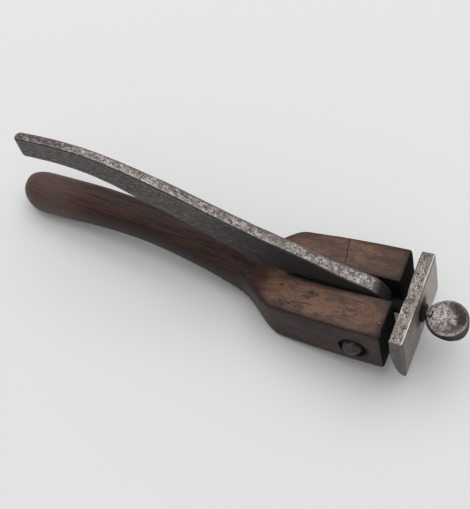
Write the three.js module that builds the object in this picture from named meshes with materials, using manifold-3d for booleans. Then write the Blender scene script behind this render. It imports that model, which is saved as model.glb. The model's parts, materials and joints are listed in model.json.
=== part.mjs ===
// A hand-made nutcracker. A carved wooden body has a round handle and a square, forked head. An iron lever
// turns on a pin across the fork. An iron jaw plate hangs on a thumbscrew that runs into the lever's nose.
// Lengths are in millimetres. X runs from the handle to the jaw, Y to the far side and Z up.
// Each piece is drawn about the pivot pin, with the head level. At the end the whole is tilted until the
// head's heel and the handle's end both lie on the table, which is where the origin is.

import * as THREE from 'three';
import { mergeVertices } from 'three/addons/utils/BufferGeometryUtils.js';
import Module from 'manifold-3d';

const solids = await Module();
solids.setup();

// Fits
const fitGap = 0.3;
const cutOverrun = 6;

// Wooden head: a block with its front face ahead of the pin
const headFrontWidth = 48.8;
const headRearWidth = 44.8;
const headHeight = 27.3;
const headLength = 50.6;
const pinSetback = 14.6;
const pinDrop = 3.4;
const headEdgeBevel = 0.8;
const shoulderLength = 26;

// Wooden handle
const handleLength = 144.4;
const handleRise = 25.6;
const handleWidth = 19.3;
const handleDepth = 19.3;
const handleDrift = 3.5;
const handleCapLength = 14;
const handleTipDrift = 3.6;

// Slot of the fork
const slotFrontWidth = 10.6;
const slotRearWidth = 8;
const slotOffset = 0.8;
const rampFoot = 12.2;

// Iron lever: a bar with a nose in front and an eye round the pin
const leverReach = 166;
const leverRise = 72.5;
const leverDepth = 18.5;
const leverWidth = 6.6;
const noseWidth = 7.8;
const noseReach = 10.6;
const noseCrest = 2.3;
const noseShoulder = 4.6;
const noseSlope = 0.36;
const eyeRadius = 9.8;
const leverTipRadius = 2.8;
const leverTipFall = 1.3;
const leverCrown = 0.6;

// Pivot pin and its recesses
const pinDiameter = 6;
const pinHeadDiameter = 9.6;
const pinHeadProud = 2.2;
const recessDiameter = 13;
const recessDepth = 2.4;

// Jaw plate
const plateWidth = 50;
const plateHeight = 28.2;
const plateThickness = 6.4;
const plateFootThickness = 1.4;
const plateFlatHeight = 9;
const plateTopDrop = 0.2;
const plateEdgeBevel = 0.5;
const jawGap = 4.15;

// Thumbscrew
const screwRise = 0.8;
const shankDiameter = 6;
const shankEngagement = 6;
const collarDiameter = 8.8;
const collarThickness = 1.5;
const neckDiameter = 6.4;
const neckLength = 3;
const thumbOverlap = 2.7;
const thumbDiameter = 19.4;
const thumbNeckDepth = 2.4;
const thumbTipDepth = 10.5;
const thumbRimRise = 0.6;
const thumbDish = 2.6;
const thumbRimWidth = 1.1;
const ringDiameter = 9;
const ringThickness = 1.5;

// Brass pin in the near prong
const brassDiameter = 1.2;
const brassLength = 6;
const brassSetback = 2.2;
const brassFromSide = 7.4;

// Smoothness
const ringSteps = 40;
const roundSteps = 36;
const spanSteps = 28;
const capSteps = 7;
const eyeSteps = 16;
const tipSteps = 6;

const fullTurn = 2 * Math.PI;
const quarterTurn = Math.PI / 2;

// How square the cross-sections are: two is an ellipse, more is nearer a rectangle
const headSquareness = 30;
const heelSquareness = 16;
const handleSquareness = 2.3;
const leverSquareness = 14;
const capBluntness = 2.4;
const bowlBluntness = 4;

const mix = (from, to, share) => from + (to - from) * share;
const clamp01 = (share) => Math.min(1, Math.max(0, share));
const ease = (share) => (1 - Math.cos(Math.PI * clamp01(share))) / 2;
const spread = ([start, end], share) => ease((share - start) / (end - start));


// Evenly spaced values, both ends included
function evenly(from, to, steps) {
  return Array.from({ length: steps + 1 }, (_, step) => mix(from, to, step / steps));
}

// Reads a table of [along, value] pairs with a smooth curve through them
function readShares(table, along) {
  const last = table.length - 1;
  const place = clamp01(along);
  const found = table.findIndex(([share]) => share >= place);
  const right = found < 0 ? last : Math.max(1, found);
  const slope = (index) => {
    const [before, after] = [table[Math.max(0, index - 1)], table[Math.min(last, index + 1)]];
    return (after[1] - before[1]) / (after[0] - before[0]);
  };
  const [x0, y0] = table[right - 1];
  const [x1, y1] = table[right];
  const step = x1 - x0;
  const s = (place - x0) / step;
  const [s2, s3] = [s * s, s * s * s];
  return (2 * s3 - 3 * s2 + 1) * y0 + (s3 - 2 * s2 + s) * step * slope(right - 1)
    + (3 * s2 - 2 * s3) * y1 + (s3 - s2) * step * slope(right);
}

// One cross-section: a rounded box outline about a point
function crossSection({ centre, across, up, halfWidth, halfDepth, squareness }) {
  return Array.from({ length: ringSteps }, (_, index) => {
    const turn = ((index + 1 / 2) / ringSteps) * fullTurn;
    const bend = (value) => Math.sign(value) * Math.abs(value) ** (2 / squareness);
    return centre.clone()
      .addScaledVector(across, halfWidth * bend(Math.cos(turn)))
      .addScaledVector(up, halfDepth * bend(Math.sin(turn)));
  });
}

function middleOf(ring) {
  return ring.reduce((sum, point) => sum.add(point), new THREE.Vector3()).divideScalar(ring.length);
}

// Skins a row of cross-sections and closes both ends
function loft(sections) {
  const positions = sections.flatMap((ring) => ring.flatMap((point) => [...point]));
  const index = [];
  const lastRow = (sections.length - 1) * ringSteps;
  const frontHub = lastRow + ringSteps;
  const rearHub = frontHub + 1;
  positions.push(...middleOf(sections[0]), ...middleOf(sections.at(-1)));
  for (let step = 0; step < ringSteps; step += 1) {
    const next = (step + 1) % ringSteps;
    for (let row = 0; row < lastRow; row += ringSteps) {
      const [a, b] = [row + step, row + next];
      index.push(a, a + ringSteps, b, b, a + ringSteps, b + ringSteps);
    }
    index.push(frontHub, step, next, rearHub, lastRow + next, lastRow + step);
  }
  const geometry = new THREE.BufferGeometry();
  geometry.setAttribute('position', new THREE.Float32BufferAttribute(positions, 3));
  geometry.setIndex(index);
  return geometry;
}

// Turns a closed geometry into a solid that can be joined and cut
function toSolid(geometry) {
  const bare = geometry.clone();
  bare.deleteAttribute('normal');
  bare.deleteAttribute('uv');
  const merged = mergeVertices(bare);
  const vertProperties = new Float32Array(merged.attributes.position.array);
  const triVerts = new Uint32Array(merged.index.array);
  return new solids.Manifold(new solids.Mesh({ numProp: 3, vertProperties, triVerts }));
}

function toGeometry(solid) {
  const mesh = solid.getMesh();
  const geometry = new THREE.BufferGeometry();
  geometry.setAttribute('position', new THREE.BufferAttribute(mesh.vertProperties, mesh.numProp));
  geometry.setIndex(new THREE.BufferAttribute(mesh.triVerts, 1));
  geometry.computeVertexNormals();
  return geometry;
}

// Extrudes a side view, drawn in X and Z, across the width and about a centre plane
function acrossWidth(shape, width, centre, bevel = 0) {
  const geometry = new THREE.ExtrudeGeometry(shape, {
    depth: width - 2 * bevel,
    curveSegments: roundSteps,
    bevelEnabled: bevel > 0,
    bevelSize: bevel,
    bevelThickness: bevel,
    bevelOffset: -bevel,
    bevelSegments: 1,
  });
  geometry.translate(0, 0, bevel);
  geometry.rotateX(quarterTurn);
  geometry.translate(0, centre + width / 2, 0);
  return geometry;
}

// A turned solid along X, from points of [radius, place along X]
function turnedAlongX(points) {
  const profile = points.map(([radius, along]) => new THREE.Vector2(radius, along));
  return new THREE.LatheGeometry(profile, roundSteps).rotateZ(-quarterTurn);
}

// A plain rod along Y
function rodAlongY(diameter, length) {
  return new THREE.CylinderGeometry(diameter / 2, diameter / 2, length, roundSteps);
}

// Wooden body

const headFront = pinSetback;
const headRear = headFront - headLength;
const handleTip = headRear - handleLength;
const shoulderShare = shoulderLength / handleLength;

// Along the handle from the head's rear to its end: how far it has risen, and how stout it is
const handleRiseShares = [[0, 0], [0.09, 0.01], [0.156, 0.11], [0.306, 0.47], [0.463, 0.7], [0.68, 0.905],
  [0.83, 0.955], [1, 1]];
const handleStoutShares = [[0, 1], [0.3, 1], [0.53, 0.94], [0.8, 1], [1, 1]];
const depthBlendShare = 0.24;
const roundingShares = [0, 0.3];
const driftShares = [0.12, 0.6];
const lastCapShare = 0.96;

function headSection(back) {
  const share = back / headLength;
  const bevel = headEdgeBevel - Math.min(back, headEdgeBevel);
  return crossSection({
    centre: new THREE.Vector3(headFront - back, 0, 0),
    across: new THREE.Vector3(0, 1, 0),
    up: new THREE.Vector3(0, 0, 1),
    halfWidth: mix(headFrontWidth, headRearWidth, share * share) / 2 - bevel,
    halfDepth: headHeight / 2 - bevel,
    squareness: 1 / mix(1 / headSquareness, 1 / heelSquareness, share * share),
  });
}

function handleSection(share) {
  const stout = readShares(handleStoutShares, share);
  const capStart = 1 - handleCapLength / handleLength;
  const intoCap = clamp01((share - capStart) / (1 - capStart));
  const cap = Math.max(0, 1 - intoCap ** capBluntness) ** (1 / capBluntness);
  const thinning = Math.sin(clamp01(share / depthBlendShare) * quarterTurn);
  const rounding = spread(roundingShares, share);
  return crossSection({
    centre: new THREE.Vector3(
      mix(headRear, handleTip, share),
      handleDrift * spread(driftShares, share) + handleTipDrift * (1 - cap),
      handleRise * readShares(handleRiseShares, share),
    ),
    across: new THREE.Vector3(0, 1, 0),
    up: new THREE.Vector3(0, 0, 1),
    halfWidth: cap * mix(headRearWidth, handleWidth * stout, ease(share / shoulderShare)) / 2,
    halfDepth: cap * mix(headHeight, handleDepth * stout, thinning) / 2,
    squareness: 1 / mix(1 / heelSquareness, 1 / handleSquareness, rounding),
  });
}

function bodyBlank() {
  const headSpans = [0, headEdgeBevel, headLength / 3, (headLength * 2) / 3];
  const capStart = 1 - handleCapLength / handleLength;
  const spans = evenly(0, 1, spanSteps).map((share) => capStart * mix(share * share, share, 1 / 2));
  const capSpans = evenly(0, lastCapShare * quarterTurn, capSteps).slice(1)
    .map((turn) => mix(capStart, 1, Math.sin(turn)));
  return loft([...headSpans.map(headSection), ...[...spans, ...capSpans].map(handleSection)]);
}

// The slot seen from above: straight at the front, drawn in and rounded at the rear
function slotPlan() {
  const plan = new THREE.Shape();
  const front = headFront + cutOverrun;
  const waist = headFront - headLength / 2;
  const rear = headRear;
  plan.moveTo(front, -slotFrontWidth / 2);
  plan.lineTo(front, slotFrontWidth / 2);
  plan.lineTo(waist, slotFrontWidth / 2);
  plan.lineTo(rear, slotRearWidth / 2);
  plan.absarc(rear, 0, slotRearWidth / 2, quarterTurn, quarterTurn + Math.PI, false);
  plan.lineTo(waist, -slotFrontWidth / 2);
  const geometry = new THREE.ExtrudeGeometry(plan, {
    depth: headHeight + 2 * cutOverrun,
    bevelEnabled: false,
    curveSegments: roundSteps / 2,
  });
  return geometry.translate(0, slotOffset, -headHeight / 2 - cutOverrun);
}

// The slot seen from the side: right through under the lever's eye, with a ramp behind it for the lever
function slotSide() {
  const side = new THREE.Shape();
  const above = headHeight / 2 + cutOverrun;
  const front = headFront + cutOverrun;
  side.moveTo(front, -above);
  side.lineTo(front, above);
  const rear = slotRearWidth / 2 + fitGap - headRear;
  side.lineTo(-rear, above);
  const places = evenly(rear, rampFoot, spanSteps);
  places.forEach((back) => side.lineTo(-back, leverUnderside(back) - fitGap));
  side.lineTo(-rampFoot, -above);
  return acrossWidth(side, headFrontWidth, 0);
}

function woodenBody() {
  const slot = toSolid(slotPlan()).intersect(toSolid(slotSide()));
  const pinHole = toSolid(rodAlongY(pinDiameter + 2 * fitGap, headFrontWidth + cutOverrun)
    .translate(0, 0, -pinDrop));
  const recess = (side) => {
    const depth = recessDepth + cutOverrun;
    const centre = side * (sideFace - recessDepth + depth / 2);
    const [ahead, rise] = recessLeanShares.map((share) => share * recessRoom);
    return toSolid(rodAlongY(recessDiameter, depth).translate(ahead, centre, rise - pinDrop));
  };
  const brassHole = toSolid(brassRod(brassDiameter / 2 + fitGap / 2, cutOverrun, fitGap));
  return toGeometry(toSolid(bodyBlank())
    .subtract(slot)
    .subtract(pinHole)
    .subtract(recess(1))
    .subtract(recess(-1))
    .subtract(brassHole));
}

// The side face's distance from the middle at the pin
const pinShare = pinSetback / headLength;
const sideFace = mix(headFrontWidth, headRearWidth, pinShare * pinShare) / 2;

// The recess leans forwards and up off the pin's head, as far as the room round the head lets it
const recessRoom = (recessDiameter - pinHeadDiameter) / 2 - fitGap;
const recessLeanShares = [0.36, 0.92];

// Iron lever

// Behind the pin, along the lever to its tip: the height of its top, its upright depth and its width
const leverTopShares = [[0, 0.239], [0.073, 0.294], [0.182, 0.399], [0.291, 0.498], [0.406, 0.617],
  [0.509, 0.737], [0.624, 0.855], [0.739, 0.945], [0.861, 0.993], [1, 1]];
const leverDepthShares = [[0, 1], [0.245, 1], [0.303, 1.065], [0.418, 1.043], [0.527, 1], [0.636, 0.935],
  [0.752, 0.762], [0.873, 0.69], [1, 0.65]];
const leverWidthShares = [[0, 1.15], [0.12, 1.03], [0.22, 1], [0.45, 0.94], [0.7, 0.8], [1, 0.76]];

// Height of the lever's top: its back behind the pin, and the nose that turns down in front of it
function leverTop(along) {
  const back = leverRise * readShares(leverTopShares, -along / leverReach);
  const cornerFall = leverRise * leverTopShares[0][1] - noseSlope * noseReach - noseShoulder;
  const intoCorner = Math.max(0, along - noseCrest) / (noseReach - noseCrest);
  const corner = 1 - Math.sqrt(Math.max(0, 1 - intoCorner ** 2));
  return back - noseSlope * Math.max(0, along) - cornerFall * corner;
}

// Height of the bar's underside behind the pin
function leverUnderside(back) {
  const share = back / leverReach;
  return leverRise * readShares(leverTopShares, share) - leverDepth * readShares(leverDepthShares, share);
}

function eyeUnderside(along) {
  return -pinDrop - Math.sqrt(Math.max(0, eyeRadius ** 2 - along ** 2));
}

// How full the lever still is as its tip rounds off: one along the bar and zero at the very end
function tipShareOf(along) {
  const intoTip = clamp01((leverTipRadius - leverReach - along) / leverTipRadius);
  return Math.sqrt(1 - intoTip ** 2);
}

function leverSection(along) {
  const behind = -along / leverReach;
  const tipShare = tipShareOf(along);
  const fall = leverTipFall * (1 - tipShare);
  const top = leverTop(along) - fall;
  const inEye = along > -eyeRadius;
  const bottom = inEye ? eyeUnderside(along) : leverUnderside(-along) + fall;
  const barWidth = leverWidth * readShares(leverWidthShares, behind);
  const noseShare = ease(1 + along / eyeRadius);
  const halfWidth = (tipShare * mix(barWidth, noseWidth, noseShare)) / 2;
  const outline = crossSection({
    centre: new THREE.Vector3(along, slotOffset, (top + bottom) / 2),
    across: new THREE.Vector3(0, 1, 0),
    up: new THREE.Vector3(0, 0, 1),
    halfWidth,
    halfDepth: (top - bottom) / 2,
    squareness: leverSquareness,
  });
  return outline.map((point) => crowned(point, top, bottom, halfWidth));
}

// Raises the middle of the lever's top and lowers its sides, so that it is a little rounded across
function crowned(point, top, bottom, halfWidth) {
  const aside = (point.y - slotOffset) / halfWidth;
  const height = clamp01((point.z - bottom) / (top - bottom));
  return point.setZ(point.z - leverCrown * tipShareOf(point.x) * height * (aside ** 2 - 1 / 2));
}

function leverBlank() {
  const eyeStops = evenly(0, Math.PI, eyeSteps).map((turn) => noseReach * Math.cos(turn));
  const barEnd = leverTipRadius - leverReach;
  const barStops = evenly(-eyeRadius - fitGap, barEnd, spanSteps);
  const tipStops = evenly(0, lastCapShare * quarterTurn, tipSteps).slice(1)
    .map((turn) => barEnd - leverTipRadius * Math.sin(turn));
  return loft([...eyeStops, ...barStops, ...tipStops].map(leverSection));
}

function leverSolid() {
  const pinHole = rodAlongY(pinDiameter + 2 * fitGap, noseWidth + cutOverrun);
  const holeRadius = shankDiameter / 2 + fitGap;
  const holeStart = noseReach - shankEngagement - fitGap;
  const holeEnd = noseReach + cutOverrun;
  const hole = turnedAlongX([[0, holeStart], [holeRadius, holeStart], [holeRadius, holeEnd], [0, holeEnd]]);
  const screwHole = hole.translate(0, slotOffset, screwRise);
  return toGeometry(toSolid(leverBlank())
    .subtract(toSolid(pinHole.translate(0, slotOffset, -pinDrop)))
    .subtract(toSolid(screwHole)));
}

// Pivot pin: a rod with a domed head seated in each recess
function pivotPin() {
  const seat = sideFace - recessDepth + fitGap;
  const rod = toSolid(rodAlongY(pinDiameter, 2 * sideFace));
  return toGeometry(rod.add(pinHead(1, seat)).add(pinHead(-1, seat)).translate([0, 0, -pinDrop]));
}

// A hammered dome, with its rim on the seat and its crown a little proud of the given side
function pinHead(side, seat) {
  const height = sideFace + pinHeadProud - seat;
  const crown = evenly(quarterTurn, 0, capSteps).map((turn) => new THREE.Vector2(
    (pinHeadDiameter / 2) * Math.sin(turn),
    height * Math.cos(turn),
  ));
  const geometry = new THREE.LatheGeometry([new THREE.Vector2(0, 0), ...crown], roundSteps);
  return toSolid(geometry.rotateX(side > 0 ? 0 : Math.PI).translate(0, side * seat, 0));
}

// Jaw plate: flat outside, and an inner face that curves away to a thin foot
const plateInner = headFront + jawGap;
const plateOuter = plateInner + plateThickness;
const plateTop = headHeight / 2 - plateTopDrop;
const plateFoot = plateTop - plateHeight;

function jawPlate() {
  const side = new THREE.Shape();
  const footInner = plateOuter - plateFootThickness;
  const curveTop = plateTop - plateFlatHeight;
  side.moveTo(plateOuter, plateFoot);
  side.lineTo(plateOuter, plateTop);
  side.lineTo(plateInner, plateTop);
  const [curveDepth, curveHeight] = [footInner - plateInner, curveTop - plateFoot];
  side.absellipse(footInner, curveTop, curveDepth, curveHeight, Math.PI, 3 * quarterTurn, false);
  const plate = toSolid(acrossWidth(side, plateWidth, 0, plateEdgeBevel));
  const radius = shankDiameter / 2 + fitGap;
  const hole = turnedAlongX([[0, headFront], [radius, headFront], [radius, plateOuter + cutOverrun],
    [0, plateOuter + cutOverrun]]);
  return toGeometry(plate.subtract(toSolid(hole.translate(0, slotOffset, screwRise))));
}

// Thumbscrew: shank, collar and neck turned along X, and a round dished thumb-piece
function thumbscrew() {
  const shankEnd = noseReach - shankEngagement;
  const collarStart = plateOuter + fitGap;
  const neckStart = collarStart + collarThickness;
  const neckEnd = neckStart + neckLength;
  const thumbCentre = neckEnd - thumbOverlap + thumbDiameter / 2;
  const [shank, collar, neck] = [shankDiameter / 2, collarDiameter / 2, neckDiameter / 2];
  const stem = toSolid(turnedAlongX([[0, shankEnd], [shank, shankEnd], [shank, collarStart],
    [collar, collarStart], [collar, neckStart], [neck, neckStart], [neck / 2, neckEnd], [0, neckEnd]]));
  return toGeometry(stem.add(thumbPiece(thumbCentre)).translate([0, slotOffset, screwRise]));
}

// The thumb-piece: a round scoop, dished on top, that is shallow at the neck and deep at its outer end
function thumbPiece(centre) {
  const rim = thumbDiameter / 2;
  const dishRadius = rim - thumbRimWidth;
  const rimFoot = thumbRimRise - thumbRimWidth;
  const dish = evenly(1, 0, capSteps).map((share) => new THREE.Vector2(
    dishRadius * share,
    thumbRimRise - thumbDish * (1 - share * share),
  ));
  const bowl = evenly(0, quarterTurn, capSteps).map((turn) => new THREE.Vector2(
    rim * Math.sin(turn) ** (2 / bowlBluntness),
    rimFoot - thumbTipDepth * Math.cos(turn) ** (2 / bowlBluntness),
  ));
  const geometry = new THREE.LatheGeometry([...bowl, ...dish], roundSteps).rotateX(quarterTurn);
  const positions = geometry.attributes.position;
  for (let index = 0; index < positions.count; index += 1) {
    const outward = (1 + positions.getX(index) / rim) / 2;
    const depthShare = mix(thumbNeckDepth / thumbTipDepth, 1, outward ** 2);
    const below = Math.min(0, positions.getZ(index) - rimFoot);
    positions.setZ(index, positions.getZ(index) + below * (depthShare - 1));
  }
  return toSolid(geometry).translate([centre, 0, 0]);
}

// Ring fixed on the shank behind the plate, so that the screw carries the plate both ways
function retainingRing() {
  const outer = ringDiameter / 2;
  const bore = shankDiameter / 2 + fitGap;
  const front = plateInner - fitGap;
  const rear = front - ringThickness;
  const profile = [[bore, rear], [outer, rear], [outer, front], [bore, front], [bore, rear]];
  return turnedAlongX(profile).translate(0, slotOffset, screwRise);
}

// Brass pin, upright in the near prong close to the slot's front corner
function brassRod(radius, above, below) {
  const length = brassLength + above + below;
  const rod = new THREE.CylinderGeometry(radius, radius, length, roundSteps / 4).rotateX(quarterTurn);
  const middle = headHeight / 2 + above - length / 2;
  return rod.translate(headFront - brassSetback, brassFromSide - headFrontWidth / 2, middle);
}

// Finishes
const darkWood = new THREE.MeshStandardMaterial({ color: 0x4a2f22, roughness: 0.55, metalness: 0 });
const wornIron = new THREE.MeshStandardMaterial({ color: 0x8b8680, roughness: 0.42, metalness: 0.9 });
const darkIron = new THREE.MeshStandardMaterial({ color: 0x4b4946, roughness: 0.55, metalness: 0.85 });
const plateIron = new THREE.MeshStandardMaterial({ color: 0x7f7b76, roughness: 0.45, metalness: 0.9 });
const screwIron = new THREE.MeshStandardMaterial({ color: 0x948f89, roughness: 0.38, metalness: 0.9 });
const ringIron = new THREE.MeshStandardMaterial({ color: 0x55524e, roughness: 0.5, metalness: 0.85 });
const brass = new THREE.MeshStandardMaterial({ color: 0xc39a55, roughness: 0.35, metalness: 0.95 });

function piece(name, geometry, material) {
  const mesh = new THREE.Mesh(geometry, material);
  mesh.name = name;
  return mesh;
}

const body = piece('wooden_body', woodenBody(), darkWood);
const assembly = new THREE.Group();
assembly.add(
  body,
  piece('brass_pin', brassRod(brassDiameter / 2, 0, 0), brass),
  piece('pivot_pin', pivotPin(), darkIron),
  piece('lever', leverSolid(), wornIron),
  piece('jaw_plate', jawPlate(), plateIron),
  piece('thumbscrew', thumbscrew(), screwIron),
  piece('retaining_ring', retainingRing(), ringIron),
);

// Finds the heel of the head and the low point of the handle that a table touches together
function restingTilt(geometry) {
  const points = [];
  const positions = geometry.attributes.position;
  for (let index = 0; index < positions.count; index += 1) {
    points.push(new THREE.Vector3().fromBufferAttribute(positions, index));
  }
  const behind = points.filter((point) => point.x < headRear - shoulderLength);
  const ahead = points.filter((point) => point.x >= headRear - shoulderLength);
  const rise = (heel, end) => (end.z - heel.z) / (heel.x - end.x);
  let heel = ahead.reduce((low, point) => (point.z < low.z ? point : low));
  let end = behind[0];
  for (let pass = 0; pass < capSteps; pass += 1) {
    end = behind.reduce((best, point) => (rise(heel, point) < rise(heel, best) ? point : best));
    heel = ahead.reduce((best, point) => (rise(point, end) > rise(best, end) ? point : best));
  }
  return Math.atan(rise(heel, end));
}

assembly.rotation.y = -restingTilt(body.geometry);
assembly.updateMatrixWorld(true);
const bounds = new THREE.Box3().setFromObject(assembly, true);
const foot = bounds.getCenter(new THREE.Vector3()).setZ(bounds.min.z);
assembly.position.sub(foot);

const nutcracker = new THREE.Group();
nutcracker.add(assembly);
nutcracker.updateMatrixWorld(true);

export default nutcracker;
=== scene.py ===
# %% [markdown]
# A hand-made nutcracker. A wooden body with a round handle ends in a square, forked head. A long iron
# lever turns on a pin across the fork, and an iron jaw plate hangs in front of the head on a thumbscrew.
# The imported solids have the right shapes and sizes, but every arris is as sharp as on the drawing.
# This lesson gives each piece the softened edges, the unevenness and the surface of an old hand tool.
# First the solids are loaded. They stay where they are, and everything else is placed from them.

# %% Load the solids
import json
import math

import bmesh
import bpy
import numpy as np
from mathutils import Matrix, Vector, noise


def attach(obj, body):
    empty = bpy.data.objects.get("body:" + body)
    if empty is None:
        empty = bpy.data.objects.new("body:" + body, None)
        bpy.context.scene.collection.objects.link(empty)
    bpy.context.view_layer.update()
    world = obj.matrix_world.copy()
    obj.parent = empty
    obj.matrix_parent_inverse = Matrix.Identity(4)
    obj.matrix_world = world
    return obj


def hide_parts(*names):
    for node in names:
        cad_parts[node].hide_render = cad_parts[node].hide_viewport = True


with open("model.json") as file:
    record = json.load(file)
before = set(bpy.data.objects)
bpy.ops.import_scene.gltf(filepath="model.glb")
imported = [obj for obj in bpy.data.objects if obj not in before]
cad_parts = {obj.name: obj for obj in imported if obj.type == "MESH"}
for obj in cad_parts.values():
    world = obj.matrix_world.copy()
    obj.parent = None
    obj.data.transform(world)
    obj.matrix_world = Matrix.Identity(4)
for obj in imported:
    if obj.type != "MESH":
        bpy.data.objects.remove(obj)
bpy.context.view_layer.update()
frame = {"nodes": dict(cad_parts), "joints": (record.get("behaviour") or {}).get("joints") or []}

print("solids:", ", ".join(sorted(frame["nodes"])))

# %% [markdown]
# The nutcracker lies nose up, with its handle's end and the heel of its head on the table. Its pieces are
# easier to describe with the head level, so the lesson works in the head's own frame: X runs from the
# handle to the jaw, Y to the far side and Z out of the head's top, in millimetres about the middle of the
# fork. The joints say where that frame lies: the jaw slides along X, and the pin lies a little below and
# beside the middle. Shapes are worked out in the head's frame and are put back at the end.

# %% Find the head's frame
MM = 0.001
PIN_ASIDE = 0.8 * MM
PIN_BELOW = 3.4 * MM
TOP = 13.65

joints = {joint["name"]: joint for joint in frame["joints"]}
forward = Vector(joints["jaw_adjust"]["axis"]).normalized()
across = Vector((0, 1, 0))
upward = forward.cross(across)
pin_centre = Vector(joints["lever_pivot"]["pos_m"])

head_place = Matrix((forward, across, upward)).transposed().to_4x4()
head_place.translation = pin_centre - across * PIN_ASIDE + upward * PIN_BELOW
print("head leans back", round(math.degrees(math.asin(forward.z)), 2), "degrees")

# %% [markdown]
# The photograph was taken from above and from the near side, about 46 cm away. The camera comes early,
# so that each new piece can be judged from there. Its place is written from the head's centre, along the
# table's own axes, and it looks down by 59 degrees and is turned 23 degrees to the right.

# %% Place the camera
CAMERA_OFFSET = Vector((26.92, -222.77, 405.51)) * MM
CAMERA_TIP = math.radians(90 - 59.27)
CAMERA_TURN = math.radians(22.66)
FOCAL_PIXELS = 1000
FRAME_HEIGHT_PIXELS = 509
SENSOR = 36

camera = bpy.data.cameras.new("camera")
camera.sensor_width = SENSOR
camera.lens = SENSOR * FOCAL_PIXELS / FRAME_HEIGHT_PIXELS
camera_object = bpy.data.objects.new("camera", camera)
camera_object.location = head_place.translation + CAMERA_OFFSET
camera_object.rotation_euler = (CAMERA_TIP, 0, CAMERA_TURN)
bpy.context.scene.collection.objects.link(camera_object)
bpy.context.scene.camera = camera_object
print("lens", round(camera.lens, 1), "mm")

# %% [markdown]
# The nutcracker lies on a plain, pale table top. It is one large, flat square with a dull finish, wide
# enough to fill the picture. It has no shine, so that it shows nothing but the shadow.

# %% The table top
FLOOR_SIDE = 6.0
FLOOR_PAINT = (0.80, 0.80, 0.80, 1)
FLOOR_ROUGHNESS = 0.9

floor_mesh = bpy.data.meshes.new("table_top")
half = FLOOR_SIDE / 2
floor_mesh.from_pydata([(-half, -half, 0), (half, -half, 0), (half, half, 0), (-half, half, 0)], [],
                       [(0, 1, 2, 3)])
floor = bpy.data.objects.new("table_top", floor_mesh)
bpy.context.scene.collection.objects.link(floor)

floor_material = bpy.data.materials.new("pale_table")
floor_material.use_nodes = True
floor_shader = floor_material.node_tree.nodes["Principled BSDF"]
floor_shader.inputs["Base Color"].default_value = FLOOR_PAINT
floor_shader.inputs["Roughness"].default_value = FLOOR_ROUGHNESS
floor_shader.inputs["Specular IOR Level"].default_value = 0
floor_mesh.materials.append(floor_material)
print("the table top is", FLOOR_SIDE, "m wide")

# %% [markdown]
# The surrounding is an even, pale studio. It lights the object at about half strength, and it looks a
# little dimmer than that to the camera and in reflections, so that metal mirrors an even grey. A Light
# Path node tells the kinds of ray apart.

# %% The pale surrounding
FILL_STRENGTH = 0.55
SEEN_STRENGTH = 0.50

world = bpy.data.worlds.new("studio")
world.use_nodes = True
bpy.context.scene.world = world
world_nodes, world_links = world.node_tree.nodes, world.node_tree.links
background = world_nodes["Background"]
background.inputs["Color"].default_value = (1, 1, 1, 1)
rays = world_nodes.new("ShaderNodeLightPath")
seen = world_nodes.new("ShaderNodeMath")
seen.operation = "MAXIMUM"
world_links.new(rays.outputs["Is Camera Ray"], seen.inputs[0])
world_links.new(rays.outputs["Is Glossy Ray"], seen.inputs[1])
also_through = world_nodes.new("ShaderNodeMath")
also_through.operation = "MAXIMUM"
world_links.new(seen.outputs[0], also_through.inputs[0])
world_links.new(rays.outputs["Is Transmission Ray"], also_through.inputs[1])
strength = world_nodes.new("ShaderNodeMapRange")
strength.inputs["To Min"].default_value = FILL_STRENGTH
strength.inputs["To Max"].default_value = SEEN_STRENGTH
world_links.new(also_through.outputs[0], strength.inputs["Value"])
world_links.new(strength.outputs[0], background.inputs["Strength"])
print("the surrounding gives a light of", FILL_STRENGTH)

# %% [markdown]
# The lamp is a wide square of light. It hangs over the nutcracker, a little behind it and to its left, so
# that the shadow falls towards the viewer. Its width makes the shadow soft. The Standard view shows the
# colours as they are, as a plain studio photograph does.

# %% The soft lamp
LAMP_OFFSET = Vector((-0.40, 0.55, 2.20))
LAMP_SIDE = 2.8
LAMP_WATTS = 35.0

lamp = bpy.data.lights.new("soft_lamp", "AREA")
lamp.shape = "SQUARE"
lamp.size = LAMP_SIDE
lamp.energy = LAMP_WATTS
lamp_object = bpy.data.objects.new("soft_lamp", lamp)
lamp_object.location = head_place.translation + LAMP_OFFSET
lamp_object.rotation_euler = (-LAMP_OFFSET).to_track_quat("-Z", "Y").to_euler()
bpy.context.scene.collection.objects.link(lamp_object)

bpy.context.scene.view_settings.view_transform = "Standard"
print("lamp stands", round(LAMP_OFFSET.length, 2), "m from the head")

# %% [markdown]
# Old tools have no sharp arris left. To soften a solid all over, its mesh is first rebuilt on an even,
# fine grid by the voxel Remesh modifier, and then relaxed a few times with the Smooth modifier. The finer
# the grid, the crisper the edge that is left. The rebuilt mesh is dense enough to take dents and uneven
# faces as real shape, which is why it is better here than a bevel on the sharp solid.

# %% Soften a solid
WELD = 0.001 * MM
SMOOTH_FACTOR = 0.5


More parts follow.
